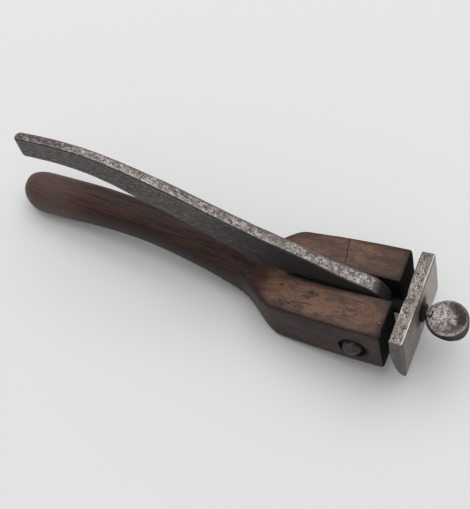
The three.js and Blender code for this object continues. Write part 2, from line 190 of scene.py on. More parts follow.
def softened(node, name, grid, rounds):
    """A copy of a solid in the head's frame, on an even grid and with soft arrises."""
    mesh = frame["nodes"][node].data.copy()
    mesh.transform(head_place.inverted())
    welded = bmesh.new()
    welded.from_mesh(mesh)
    bmesh.ops.remove_doubles(welded, verts=welded.verts, dist=WELD)
    welded.to_mesh(mesh)
    welded.free()
    piece = bpy.data.objects.new(name, mesh)
    bpy.context.scene.collection.objects.link(piece)
    rebuilt = piece.modifiers.new("even_grid", "REMESH")
    rebuilt.mode = "VOXEL"
    rebuilt.voxel_size = grid
    relaxed = piece.modifiers.new("soft_arrises", "SMOOTH")
    relaxed.factor = SMOOTH_FACTOR
    relaxed.iterations = rounds
    shown = piece.evaluated_get(bpy.context.evaluated_depsgraph_get())
    made = bpy.data.meshes.new_from_object(shown)
    made.name = name
    piece.modifiers.clear()
    piece.data = made
    return piece


print("solids will be rebuilt on an even grid")

# %% [markdown]
# The small unevenness of hand work is added by moving each point of the dense mesh along its normal by a
# value of smooth noise. The same helpers serve wood and iron, each with its own sizes. Numbers for every
# point are kept in arrays, because that is quick for a hundred thousand points.

# %% Read and move the points of a mesh
NOISE_SHIFT = Vector((17.3, 7.9, 3.1))


def points_of(piece):
    """The piece's points and normals in the head's frame, in millimetres."""
    vertices = piece.data.vertices
    points = np.empty(len(vertices) * 3)
    normals = np.empty(len(vertices) * 3)
    vertices.foreach_get("co", points)
    vertices.foreach_get("normal", normals)
    return points.reshape(-1, 3) / MM, normals.reshape(-1, 3)


def move_points(piece, points):
    """Writes points in millimetres back to the piece."""
    piece.data.vertices.foreach_set("co", (points * MM).ravel())
    piece.data.update()


def waves(points, size, seed, stretch=(1, 1, 1)):
    """Smooth noise from about -1 to 1 at each point; size is the width of its humps in millimetres."""
    scaled_points = points / (np.array(stretch) * size)
    return np.array([noise.noise(Vector(place) + seed * NOISE_SHIFT) for place in scaled_points])


def roughen(piece, humps, seed, stretch=(1, 1, 1)):
    """Moves a piece's points along their normals by waves of the given sizes and depths."""
    points, normals = points_of(piece)
    for extra, (size, depth) in enumerate(humps):
        points += normals * (waves(points, size, seed + extra, stretch) * depth)[:, None]
    move_points(piece, points)


def smooth_step(low, high, values):
    """0 below low, 1 above high and a soft step between them."""
    share = np.clip((values - low) / (high - low), 0, 1)
    return share * share * (3 - 2 * share)


print("each piece can now be roughened")

# %% [markdown]
# Wear shows on arrises, and dirt gathers in corners. Both follow from how far each point stands proud of
# its neighbours. That is measured once for each piece and kept in its mesh as values for every point,
# which the materials read with an Attribute node. The same measure, spread wider, gives the dark margin
# that hands leave round a flat face.

# %% Measure the arrises and the hollows
NARROW_ROUNDS = 2


def neighbour_mean(piece, values):
    """The mean of a value over each point's neighbours along the mesh's edges."""
    edges = np.empty(len(piece.data.edges) * 2, dtype=int)
    piece.data.edges.foreach_get("vertices", edges)
    first, second = edges.reshape(-1, 2).T
    count = len(piece.data.vertices)
    total = np.bincount(first, values[second], count) + np.bincount(second, values[first], count)
    return total / np.maximum(1, np.bincount(edges, minlength=count))


def keep_value(piece, name, values):
    """Keeps a number for every point in the piece's mesh."""
    stored = piece.data.attributes.new(name, "FLOAT", "POINT")
    stored.data.foreach_set("value", values.astype(np.float32))


def keep_edges(piece, proud, margin_rounds=0):
    """Keeps how far each point is on an arris, in a corner and in the margin beside an arris."""
    points, normals = points_of(piece)
    around = np.column_stack([neighbour_mean(piece, column) for column in points.T])
    height = np.einsum("ij,ij->i", points - around, normals)
    for _ in range(NARROW_ROUNDS):
        height = neighbour_mean(piece, height)
    margin = np.clip(height / proud, 0, 1)
    keep_value(piece, "edge", margin)
    keep_value(piece, "hollow", np.clip(-height / proud, 0, 1))
    for _ in range(margin_rounds):
        margin = neighbour_mean(piece, margin)
    if margin_rounds:
        keep_value(piece, "margin", np.clip(margin / margin.max(), 0, 1))


def finish_piece(piece, node, body, material):
    """Puts a piece in its place, gives it its material and ties it to the solid that it stands for."""
    piece.data.transform(head_place)
    piece.data.materials.clear()
    piece.data.materials.append(material)
    piece.data.shade_smooth()
    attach(piece, body)
    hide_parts(node)
    print(piece.name, "has", len(piece.data.polygons), "faces")


print("wear and dirt can be measured, and pieces can be finished")

# %% [markdown]
# Each surface is a material made of nodes. Colours are written as a picture editor shows them, from 0 to
# 255, and turned into the linear values that the shader needs. A few helpers keep the node code short:
# each one adds a node, joins its inputs and gives back its output.

# %% Write colours and nodes
def paint(red, green, blue):
    """A colour as a picture editor shows it, as a linear colour with full cover."""
    shares = [value / 255 for value in (red, green, blue)]
    linear = [s / 12.92 if s <= 0.04045 else ((s + 0.055) / 1.055) ** 2.4 for s in shares]
    return (*linear, 1)


def join(tree, value, socket):
    """Joins an output to a socket, or sets the socket to a plain value."""
    if isinstance(value, bpy.types.NodeSocket):
        tree.links.new(value, socket)
    else:
        socket.default_value = value


def find_socket(made, name):
    """An enabled input by its name in small letters with _ for spaces, or a numbered one such as in_1."""
    if name.startswith("in_"):
        return made.inputs[int(name[3:])]
    for socket in made.inputs:
        if socket.enabled and socket.name.lower().replace(" ", "_") == name:
            return socket
    raise KeyError(name)


def add_node(tree, kind, settings=None, **inputs):
    """Adds a node; inputs are named by socket, and hold a number, a colour or another node's output."""
    made = tree.nodes.new("ShaderNode" + kind)
    for name, value in (settings or {}).items():
        setattr(made, name, value)
    for name, value in inputs.items():
        join(tree, value, find_socket(made, name))
    return made


def math_node(tree, operation, first, second=0.5):
    """The output of a Math node."""
    return add_node(tree, "Math", {"operation": operation}, in_0=first, in_1=second).outputs[0]


def times(tree, *values):
    """The product of several values."""
    product = values[0]
    for value in values[1:]:
        product = math_node(tree, "MULTIPLY", product, value)
    return product


def vector_math(tree, operation, first, second):
    """The vector that a Vector Math node gives."""
    return add_node(tree, "VectorMath", {"operation": operation}, in_0=first, in_1=second).outputs[0]


def stretched(tree, vector, scale):
    """A vector times a scale for each axis."""
    return vector_math(tree, "MULTIPLY", vector, scale)


def distance(tree, first, second):
    """How far it is from one place to another."""
    return add_node(tree, "VectorMath", {"operation": "DISTANCE"}, in_0=first, in_1=second).outputs["Value"]


def split(tree, vector):
    """The X, Y and Z outputs of a vector."""
    return add_node(tree, "SeparateXYZ", None, vector=vector).outputs


print("colours and nodes can be written")

# %% [markdown]
# Most layers of a finish are one colour mixed over another by a mask, a value from 0 to 1. A mask is a soft
# step along a place, a direction, a noise or a value that was kept in the mesh. Several masks are
# multiplied where all of them must hold.

# %% Masks, mixes and noise
def soft_mask(tree, value, low, high):
    """0 below low, 1 above high and a soft step between them; high may be below low."""
    settings = {"interpolation_type": "SMOOTHSTEP"}
    return add_node(tree, "MapRange", settings, value=value, from_min=low, from_max=high).outputs[0]


def band(tree, value, low, high, soft):
    """1 between two values and 0 outside them, with soft sides."""
    return times(tree, soft_mask(tree, value, low - soft, low), soft_mask(tree, value, high + soft, high))


def mix_colour(tree, share, first, second):
    """One colour over another."""
    made = add_node(tree, "Mix", {"data_type": "RGBA", "clamp_factor": True})
    for socket, value in zip((made.inputs[0], made.inputs[6], made.inputs[7]), (share, first, second)):
        join(tree, value, socket)
    return made.outputs[2]


def mix_value(tree, share, first, second):
    """One value over another."""
    made = add_node(tree, "Mix", {"data_type": "FLOAT", "clamp_factor": True})
    for socket, value in zip((made.inputs[0], made.inputs[2], made.inputs[3]), (share, first, second)):
        join(tree, value, socket)
    return made.outputs[0]


def noise_node(tree, vector, scale, detail, roughness=0.5):
    """The value of a Noise Texture."""
    made = add_node(tree, "TexNoise", None, vector=vector, scale=scale, detail=detail, roughness=roughness)
    return made.outputs[0]


def centred(tree, value):
    """A value around a half, moved to lie around zero."""
    return math_node(tree, "SUBTRACT", value, 0.5)


def attribute(tree, name):
    """A value kept in the mesh for every point."""
    return add_node(tree, "Attribute", {"attribute_name": name}).outputs["Fac"]


print("masks and mixes can be laid")

# %% [markdown]
# An effect that several materials share is a node group: a small tree with named sockets that is built
# once and placed where it is needed. The first group turns Blender's object coordinates and normals into
# places and directions in the head's frame, so that a material can say "on the flat top" in plain numbers.
# A Mapping node of the Texture kind undoes a placement: it takes off the place, the turn and the scale.

# %% The head's frame as a group
def new_group(name, inputs, outputs):
    """An empty shader group; inputs and outputs are lists of (name, kind)."""
    group = bpy.data.node_groups.new(name, "ShaderNodeTree")
    for label, kind in inputs:
        group.interface.new_socket(name=label, in_out="INPUT", socket_type="NodeSocket" + kind)
    for label, kind in outputs:
        group.interface.new_socket(name=label, in_out="OUTPUT", socket_type="NodeSocket" + kind)
    return group, group.nodes.new("NodeGroupInput").outputs, group.nodes.new("NodeGroupOutput").inputs


def place_group(tree, group, **inputs):
    """Places a group in a material, joins its inputs and gives its outputs."""
    made = tree.nodes.new("ShaderNodeGroup")
    made.node_tree = group
    for name, value in inputs.items():
        join(tree, value, find_socket(made, name))
    return made.outputs


def make_frame_group():
    """Object coordinates and normals as places in millimetres and directions in the head's frame."""
    tree, given, result = new_group("head_frame", [("Position", "Vector"), ("Normal", "Vector")],
                                    [("Place", "Vector"), ("Facing", "Vector")])
    turn = head_place.to_euler()
    settings = {"vector_type": "TEXTURE"}
    place = add_node(tree, "Mapping", settings, vector=given["Position"], location=head_place.translation,
                     rotation=turn, scale=(MM, MM, MM))
    facing = add_node(tree, "Mapping", settings, vector=given["Normal"], rotation=turn)
    tree.links.new(place.outputs[0], result["Place"])
    tree.links.new(facing.outputs[0], result["Facing"])
    return tree


frame_group = make_frame_group()


def new_material(name):
    """A material with its tree, its shader, and its places and directions in the head's frame."""
    material = bpy.data.materials.new(name)
    material.use_nodes = True
    tree = material.node_tree
    found = add_node(tree, "TexCoord").outputs
    inside = place_group(tree, frame_group, position=found["Object"], normal=found["Normal"])
    return material, tree, tree.nodes["Principled BSDF"], inside["Place"], inside["Facing"]


print("group:", frame_group.name)

# %% [markdown]
# Wood grain. A board shows its year rings and fibres as long, fine lines that run with the piece and bend
# round a knot. Stretched noise gives such lines: it is fine across the grain and long with it. Before it
# is read, the coordinates are bent by a broad noise. Close to a knot the lines turn into rings instead,
# which is noise read along the distance from the knot. The group gives a broad figure, fine fibres and a
# height, and each material chooses its own colours from them.

# %% Wood grain as a group
FIGURE_STRETCH = (0.07, 0.24, 0.24)
FIBRE_STRETCH = (0.20, 2.5, 2.5)
PORE_STRETCH = (0.45, 5.5, 5.5)
KNOT_STRETCH = (0.62, 1.0, 1.0)
BROAD_SCALE = 0.055
RING_DRIFT = (0.16, 0.16, 0.16)
RING_FINENESS = 1.1
RING_BEND = 9.0
RING_BEND_SCALE = 0.16
KNOT_CORE_SHARE = 0.45


def make_grain_group():
    """Long fibres and figure that run along X and turn into rings round a knot."""
    tree, given, result = new_group(
        "wood_grain",
        [("Position", "Vector"), ("Knot Place", "Vector"), ("Knot Reach", "Float"), ("Bend", "Float")],
        [("Figure", "Float"), ("Fibre", "Float"), ("Pore", "Float"), ("Height", "Float")])
    position = given["Position"]
    bend = times(tree, centred(tree, noise_node(tree, position, BROAD_SCALE, 2)), given["Bend"])
    shift = add_node(tree, "CombineXYZ", None, y=bend, z=bend).outputs[0]
    bent = vector_math(tree, "ADD", position, shift)
    off_knot = vector_math(tree, "SUBTRACT", bent, given["Knot Place"])
    oval = stretched(tree, off_knot, KNOT_STRETCH)
    away = add_node(tree, "VectorMath", {"operation": "LENGTH"}, in_0=oval).outputs["Value"]
    uneven = centred(tree, noise_node(tree, position, RING_BEND_SCALE, 2))
    away = math_node(tree, "ADD", away, times(tree, uneven, RING_BEND))
    rings = add_node(tree, "CombineXYZ", None, x=times(tree, away, RING_FINENESS)).outputs[0]
    drift = stretched(tree, position, RING_DRIFT)
    ring_place = vector_math(tree, "ADD", rings, drift)
    knot_core = times(tree, given["Knot Reach"], KNOT_CORE_SHARE)
    near_knot = soft_mask(tree, away, given["Knot Reach"], knot_core)

    figure = noise_node(tree, stretched(tree, bent, FIGURE_STRETCH), 1.0, 4, 0.65)
    fibre = mix_value(tree, near_knot, noise_node(tree, stretched(tree, bent, FIBRE_STRETCH), 1.0, 3, 0.65),
                      noise_node(tree, ring_place, 1.0, 3, 0.6))
    pore = noise_node(tree, stretched(tree, bent, PORE_STRETCH), 1.0, 2, 0.5)
    height = math_node(tree, "ADD", fibre, pore)
    for name, value in (("Figure", figure), ("Fibre", fibre), ("Pore", pore), ("Height", height)):
        tree.links.new(value, result[name])
    return tree


grain_group = make_grain_group()
print("group:", grain_group.name)

# %% [markdown]
# Iron that has been forged, handled and left to darken is speckled all over: bright where the metal shows
# through, dark where scale and rust sit in the pores. The group mixes two sizes of noise into one speckle
# and gives a slow patina value for larger stains. The position can be stretched before it goes in, which
# turns the speckles into the streaks of a file or a hammer.

# %% Iron speckle as a group
FINE_SHARE = 0.65
PATCH_FINENESS = 0.3


def make_speckle_group():
    """Fine light and dark speckles, with slow stains."""
    tree, given, result = new_group(
        "iron_speckle",
        [("Position", "Vector"), ("Speckle Size", "Float"), ("Stain Size", "Float")],
        [("Speckle", "Float"), ("Stain", "Float"), ("Height", "Float")])
    fine_scale = math_node(tree, "DIVIDE", 1.0, given["Speckle Size"])
    slow_scale = math_node(tree, "DIVIDE", 1.0, given["Stain Size"])
    fine = noise_node(tree, given["Position"], fine_scale, 3, 0.75)
    patches = noise_node(tree, given["Position"], times(tree, fine_scale, PATCH_FINENESS), 3, 0.6)
    speckle = mix_value(tree, FINE_SHARE, patches, fine)
    slow = noise_node(tree, given["Position"], slow_scale, 3, 0.6)
    for name, value in (("Speckle", speckle), ("Stain", slow), ("Height", fine)):
        tree.links.new(value, result[name])
    return tree


speckle_group = make_speckle_group()
print("group:", speckle_group.name)

# %% [markdown]
# A crack or a drying check is a thin dark line that wanders a little. The group bends the place with noise,
# measures how far it is from the straight line between two ends, and gives 1 on the line and 0 beside it.
# Each crack in the wood is one placed group, and so is each worm hole, as a very short and wide one.

# %% A crack as a group
CRACK_WANDER = 0.5
CRACK_WANDER_SCALE = 0.5
CRACK_CORE_SHARE = 0.3


def make_crack_group():
    """A mask for one thin, wandering line between two ends."""
    tree, given, result = new_group(
        "crack", [("Position", "Vector"), ("Start", "Vector"), ("End", "Vector"), ("Width", "Float")],
        [("Mask", "Float")])

    def dot(first, second):
        return add_node(tree, "VectorMath", {"operation": "DOT_PRODUCT"}, in_0=first,
                        in_1=second).outputs["Value"]

    unsteady = centred(tree, noise_node(tree, given["Position"], CRACK_WANDER_SCALE, 3))
    wander = times(tree, unsteady, 2 * CRACK_WANDER)
    bend = add_node(tree, "CombineXYZ", None, x=wander, y=wander).outputs[0]
    run = vector_math(tree, "SUBTRACT", given["End"], given["Start"])
    bent = vector_math(tree, "SUBTRACT", given["Position"], bend)
    off = vector_math(tree, "SUBTRACT", bent, given["Start"])
    share = add_node(tree, "Math", {"operation": "DIVIDE", "use_clamp": True}, in_0=dot(off, run),
                     in_1=dot(run, run)).outputs[0]
    reach = add_node(tree, "VectorMath", {"operation": "SCALE"}, in_0=run, in_3=share).outputs[0]
    away = distance(tree, off, reach)
    core = times(tree, given["Width"], CRACK_CORE_SHARE)
    tree.links.new(soft_mask(tree, away, given["Width"], core), result["Mask"])
    return tree


crack_group = make_crack_group()
print("group:", crack_group.name)

# %% [markdown]
# The wood's own colours. The flat top of the head is worn to an orange brown with dark fibre lines, and
# its margin is dark with dirt. The sides are nearly black brown from years of hands and oil, and the
# handle has a redder ridge with dark streaks. The values were chosen and then set by comparing the
# picture with the photograph, under this lesson's light.

# %% The wood's colours
TOP_LIGHT = paint(124, 90, 71)
TOP_DARK = paint(88, 69, 61)
TOP_LINE = paint(48, 37, 35)
MARGIN_DARK = paint(50, 40, 38)
SIDE_LIGHT = paint(60, 44, 39)
SIDE_DARK = paint(42, 30, 27)
RIDGE_RED = paint(88, 56, 44)
WORN_END = paint(104, 84, 78)
# painted bounce light from the table, on the handle's underside
BOUNCE_LIGHT_GREY = paint(68, 56, 53)
# dark streaks and dirt, and painted shade on the handle's neck
STREAK_DIRT_AND_SHADE_DARK = paint(28, 22, 21)
# nearly black: end grain, and painted shade in the gap, the slot and round the pin's recess
END_GRAIN_AND_SHADE = paint(13, 11, 11)
HOLE_BLACK = paint(14, 11, 11)
print("the wood's colours are set")

# %% [markdown]
# The head's flat top is one layer of the wood's finish. Each pair of values is where a soft step starts
# and where it ends: a place in millimetres, a share of a direction or a value of the grain. A cover says
# how much of a layer shows. The figure and the fibre lines come from the grain group, both front ends are
# darker than the middle, and dirt lies in the margin.

# %% The head's flat top
KNOT_PLACE = (-0.8, -12.4, TOP)
KNOT_REACH = 12.0
GRAIN_BEND = 8.0
FLAT_UP = (0.80, 0.97)
AT_TOP = (TOP - 2.5, TOP - 0.8)
HEAD_SPAN = (-58.0, -44.0)
TOP_FIGURE = (0.36, 0.64)
TOP_FIBRE = (0.48, 0.62)
FIBRE_COVER = 0.60
FAR_FRONT_ALONG = (-6.0, 12.0)
FAR_FRONT_ACROSS = (0.0, 8.0)
FAR_FRONT_COVER = 0.55
NEAR_FRONT_ALONG = (-2.0, 10.0)
NEAR_FRONT_ACROSS = (-2.0, -6.0)
NEAR_FRONT_COVER = 0.35
MARGIN_STEP = (0.12, 0.70)
MARGIN_COVER = 0.90


def top_layers(tree, x, y, grain):
    """The figured, lined wood of the flat top, with darker front ends and a dirty margin."""
    shade = mix_colour(tree, soft_mask(tree, grain["Figure"], *TOP_FIGURE), TOP_DARK, TOP_LIGHT)
    fibre_lines = times(tree, soft_mask(tree, grain["Fibre"], *TOP_FIBRE), FIBRE_COVER)
    shade = mix_colour(tree, fibre_lines, shade, TOP_LINE)
    far_front = times(tree, soft_mask(tree, x, *FAR_FRONT_ALONG), soft_mask(tree, y, *FAR_FRONT_ACROSS),
                      FAR_FRONT_COVER)
    near_front = times(tree, soft_mask(tree, x, *NEAR_FRONT_ALONG), soft_mask(tree, y, *NEAR_FRONT_ACROSS),
                       NEAR_FRONT_COVER)
    shade = mix_colour(tree, math_node(tree, "ADD", far_front, near_front), shade, MARGIN_DARK)
    dirt = times(tree, soft_mask(tree, attribute(tree, "margin"), *MARGIN_STEP), MARGIN_COVER)
    return mix_colour(tree, dirt, shade, MARGIN_DARK)


print("the flat top reaches back to", HEAD_SPAN[0], "mm")

# %% [markdown]
# The sides and the handle are the other layer. The handle slopes down from the head, so its grain is
# sheared to follow it. Along its near upper side runs the redder ridge with dark streaks, its underside is
# painted greyer as painted bounce light from the table, the neck behind the shoulders is painted darker
# towards the head as painted shade, and the handle's end is worn paler.

# %% The sides and the handle
HANDLE_START = -50.0
HANDLE_LEAN = 0.19
STREAK_STRETCH = (0.05, 0.95, 0.95)
SIDE_FIGURE = (0.38, 0.62)
HANDLE_SPAN = (-42.0, -58.0)
RIDGE_FACING = (-0.72, 0.10)
RIDGE_SOFT = 0.35
RIDGE_UP = (0.0, 0.4)
RED_STREAK = (0.36, 0.62)
RED_COVER = 0.75
DARK_STREAK = (0.50, 0.40)
DARK_STREAK_COVER = 0.45
BOUNCE_FACING = (0.45, 0.10)
BOUNCE_COVER = 0.7
NECK_SPAN = (-165.0, -100.0)
NECK_SHADE = 0.60
RED_SPARED = 0.6
WORN_SPAN = (-136.0, -160.0)
WORN_COVER = 0.45


def sheared(tree, place, x):
    """The place, lifted behind the head so that the grain follows the sloping handle."""
    behind = math_node(tree, "MAXIMUM", math_node(tree, "SUBTRACT", HANDLE_START, x), 0.0)
    lean = add_node(tree, "CombineXYZ", None, z=times(tree, behind, -HANDLE_LEAN)).outputs[0]
    return vector_math(tree, "ADD", place, lean)


def side_layers(tree, x, along, away_from_us, upwards, grain):
    """Dark sides; on the handle a red ridge, painted bounce light below, painted shade on the neck, a worn
    end.
    """
    streak = noise_node(tree, stretched(tree, along, STREAK_STRETCH), 1.0, 4, 0.62)
    shade = mix_colour(tree, soft_mask(tree, grain["Figure"], *SIDE_FIGURE), SIDE_DARK, SIDE_LIGHT)
    on_handle = soft_mask(tree, x, *HANDLE_SPAN)
    ridge = times(tree, band(tree, away_from_us, *RIDGE_FACING, RIDGE_SOFT),
                  soft_mask(tree, upwards, *RIDGE_UP), on_handle)
    red = times(tree, ridge, soft_mask(tree, streak, *RED_STREAK), RED_COVER)
    shade = mix_colour(tree, red, shade, RIDGE_RED)
    dark_streaks = times(tree, ridge, soft_mask(tree, streak, *DARK_STREAK), DARK_STREAK_COVER)
    shade = mix_colour(tree, dark_streaks, shade, STREAK_DIRT_AND_SHADE_DARK)
    # painted bounce light: the handle's underside is greyer
    painted_bounce = times(tree, soft_mask(tree, upwards, *BOUNCE_FACING), on_handle, BOUNCE_COVER)
    shade = mix_colour(tree, painted_bounce, shade, BOUNCE_LIGHT_GREY)
    spared = math_node(tree, "SUBTRACT", 1.0, times(tree, red, RED_SPARED))
    # painted shade: the neck darkens towards the head
    painted_neck_shade = times(tree, soft_mask(tree, x, *NECK_SPAN), on_handle, spared, NECK_SHADE)
    shade = mix_colour(tree, painted_neck_shade, shade, STREAK_DIRT_AND_SHADE_DARK)
    worn_end = times(tree, soft_mask(tree, x, *WORN_SPAN), WORN_COVER)
    return mix_colour(tree, worn_end, shade, WORN_END)


print("the handle's grain starts to slope at", HANDLE_START, "mm")

# %% [markdown]
# Then come the marks of use and the painted shade. End grain has drunk the most oil, and the head's front,
# which also sits in the shade of the narrow gap, is painted nearly black, partly as end grain and partly as
# painted shade. The slot's walls are painted nearly black as painted shade, and so is a patch round the
# pin's recess. Cracks, drying checks and worm holes are drawn by the crack group. What is dull as well as
# dark is given back too, so that the material can make it fully rough.

# %% Dark ends, painted shade, cracks and worm holes
FRONT_FACING = (0.5, 0.8)
FRONT_SPAN = (-30.0, -10.0)
SLOT_HALF = 7.2
# painted shade on the slot's walls
SLOT_SHADE_SIDE = (SLOT_HALF + 1.4, SLOT_HALF + 0.4)
SLOT_SHADE_FACING = (0.75, 0.45)
SLOT_SHADE_SPAN = (-50.0, -20.0)
SLOT_SHADE_COVER = 0.9
# painted shade round the pin's recess
RECESS_SHADE_PLACE = (2.4, -24.0, -1.4)
RECESS_SHADE_REACH = 7.5
RECESS_SHADE_CORE = RECESS_SHADE_REACH * 0.55
RECESS_SHADE_COVER = 0.85
CRACKS = (((-15.1, 22.4, TOP), (-13.9, 15.9, TOP), 0.40), ((-13.9, 15.9, TOP), (-12.7, 9.8, TOP), 0.32),
          ((-41.7, -9.5, TOP), (-35.7, -9.6, TOP), 0.50), ((-49.8, -15.6, TOP), (-44.5, -14.4, TOP), 0.42),
          ((-43.5, -11.2, TOP), (-39.0, -11.0, TOP), 0.28), ((-28.8, -17.0, TOP), (-20.0, -16.2, TOP), 0.24))
WORM_HOLES = ((-22.0, -9.9, 0.72), (-19.3, -10.2, 0.58), (-24.9, -12.6, 0.66), (-22.6, -13.0, 0.52),
              (-34.2, -18.0, 0.56), (-30.4, -18.1, 0.68), (-23.5, -18.4, 0.60), (-24.0, -20.7, 0.46),
              (-16.1, -20.0, 0.46), (-21.0, -11.6, 0.42), (-33.0, -19.6, 0.40), (-26.6, -19.3, 0.42))
HOLE_RUN = 0.6
CRACK_COVER = 0.9


def damage_and_shade_layers(tree, colour, place, toward_front, upwards):
    """The colour with dark ends, painted shade, cracks and worm holes, and how dull each place is."""
    x, y, _ = split(tree, place)
    # the front: end grain, with painted shade from the narrow gap
    front = times(tree, soft_mask(tree, toward_front, *FRONT_FACING), soft_mask(tree, x, *FRONT_SPAN))
    from_middle = math_node(tree, "ABSOLUTE", y)
    # painted shade on the slot's walls
    slot_wall_shade = times(tree, soft_mask(tree, from_middle, *SLOT_SHADE_SIDE), soft_mask(tree, upwards, *SLOT_SHADE_FACING),
                 soft_mask(tree, x, *SLOT_SHADE_SPAN), SLOT_SHADE_COVER)
    dark_ends = math_node(tree, "MAXIMUM", front, slot_wall_shade)
    colour = mix_colour(tree, dark_ends, colour, END_GRAIN_AND_SHADE)
    # painted shade round the pin's recess
    off_recess_shade = distance(tree, place, RECESS_SHADE_PLACE)
    recess_shade = times(tree, soft_mask(tree, off_recess_shade, RECESS_SHADE_REACH, RECESS_SHADE_CORE), RECESS_SHADE_COVER)
    colour = mix_colour(tree, recess_shade, colour, END_GRAIN_AND_SHADE)
    short_runs = [((middle - HOLE_RUN * radius, aside, TOP), (middle + HOLE_RUN * radius, aside, TOP), radius)
                  for middle, aside, radius in WORM_HOLES]
    for start, end, width in (*CRACKS, *short_runs):
        line = place_group(tree, crack_group, position=place, start=start, end=end, width=width)["Mask"]
        colour = mix_colour(tree, times(tree, line, CRACK_COVER), colour, HOLE_BLACK)
    return colour, math_node(tree, "MAXIMUM", dark_ends, recess_shade)


print(len(CRACKS), "cracks and", len(WORM_HOLES), "worm holes")

# %% [markdown]
# The wood's material lays these over each other: the flat top over the sides, then pores, damage and painted
# shade, the dirt in corners and the dark arrises. Pores are a little rougher than the fibres between them,
# and the grain stands out as a fine bump, which is too small to be worth modelling.

# %% The dark wood
PORE_STEP = (0.56, 0.68)
PORE_COVER = 0.40
HOLLOW_ON_TOP = 0.15
ARRIS_DIRT = 0.65
SMOOTH_PORE = 0.3
ROUGH_PORE = 0.7
WOOD_SMOOTHEST = 0.40
WOOD_ROUGHEST = 0.58
WOOD_SPECULAR = 0.20
WOOD_BUMP = 0.35
WOOD_BUMP_DEPTH = 0.12 * MM


def make_dark_wood():
    """Brown, lined top; dark, oiled sides and handle."""
    material, tree, shader, place, facing = new_material("worn_dark_wood")
    x, y, z = split(tree, place)
    along = sheared(tree, place, x)
    grain = place_group(tree, grain_group, position=along, knot_place=KNOT_PLACE, knot_reach=KNOT_REACH,
                        bend=GRAIN_BEND)
    toward_front, away_from_us, upwards = split(tree, facing)
    top = times(tree, soft_mask(tree, upwards, *FLAT_UP), soft_mask(tree, z, *AT_TOP),
                soft_mask(tree, x, *HEAD_SPAN))
    colour = mix_colour(tree, top, side_layers(tree, x, along, away_from_us, upwards, grain),
                        top_layers(tree, x, y, grain))
    pores = times(tree, soft_mask(tree, grain["Pore"], *PORE_STEP), PORE_COVER)
    colour = mix_colour(tree, pores, colour, TOP_LINE)
    colour, dead = damage_and_shade_layers(tree, colour, place, toward_front, upwards)
    hollow = times(tree, attribute(tree, "hollow"), mix_value(tree, top, 1.0, HOLLOW_ON_TOP))
    colour = mix_colour(tree, hollow, colour, STREAK_DIRT_AND_SHADE_DARK)
    colour = mix_colour(tree, times(tree, attribute(tree, "edge"), ARRIS_DIRT), colour, STREAK_DIRT_AND_SHADE_DARK)
    tree.links.new(colour, shader.inputs["Base Color"])
    rough = add_node(tree, "MapRange", None, value=grain["Pore"], from_min=SMOOTH_PORE, from_max=ROUGH_PORE,
                     to_min=WOOD_SMOOTHEST, to_max=WOOD_ROUGHEST).outputs[0]
    tree.links.new(mix_value(tree, dead, rough, 1.0), shader.inputs["Roughness"])
    shader.inputs["Specular IOR Level"].default_value = WOOD_SPECULAR
    bump = add_node(tree, "Bump", None, strength=WOOD_BUMP, distance=WOOD_BUMP_DEPTH,
                    height=grain["Height"])
    tree.links.new(bump.outputs[0], shader.inputs["Normal"])
    return material


dark_wood = make_dark_wood()
print("material:", dark_wood.name)

# %% [markdown]
# The iron finishes. All iron pieces use the speckle group, but with their own colours. On each piece a face
# that looks up is lighter than the sides, partly as wear from hands and partly as painted light: the lever's
# top is bright and its sides are dark, the jaw plate is lighter and the thumbscrew has brown stains. So one
# function makes them all from a few values. Each piece may add marks of its own before the colour goes to
# the shader. Marks of dirt and of painted shade are also rough and dull, so each piece says how much of them
# there is: a smooth dark face would still mirror the room when it is seen from the side.

# %% The iron
UPPER_FACING = (0.45, 0.80)
BRIGHT_STEP = (0.43, 0.58)
STAIN_STEP = (0.50, 0.64)
DULL_STEP = (0.42, 0.59)
HOLLOW_DIRT = 0.7
ROUGH_SPECKLE = 0.35
SMOOTH_SPECKLE = 0.65
IRON_BUMP = 0.45
IRON_BUMP_DEPTH = 0.10 * MM


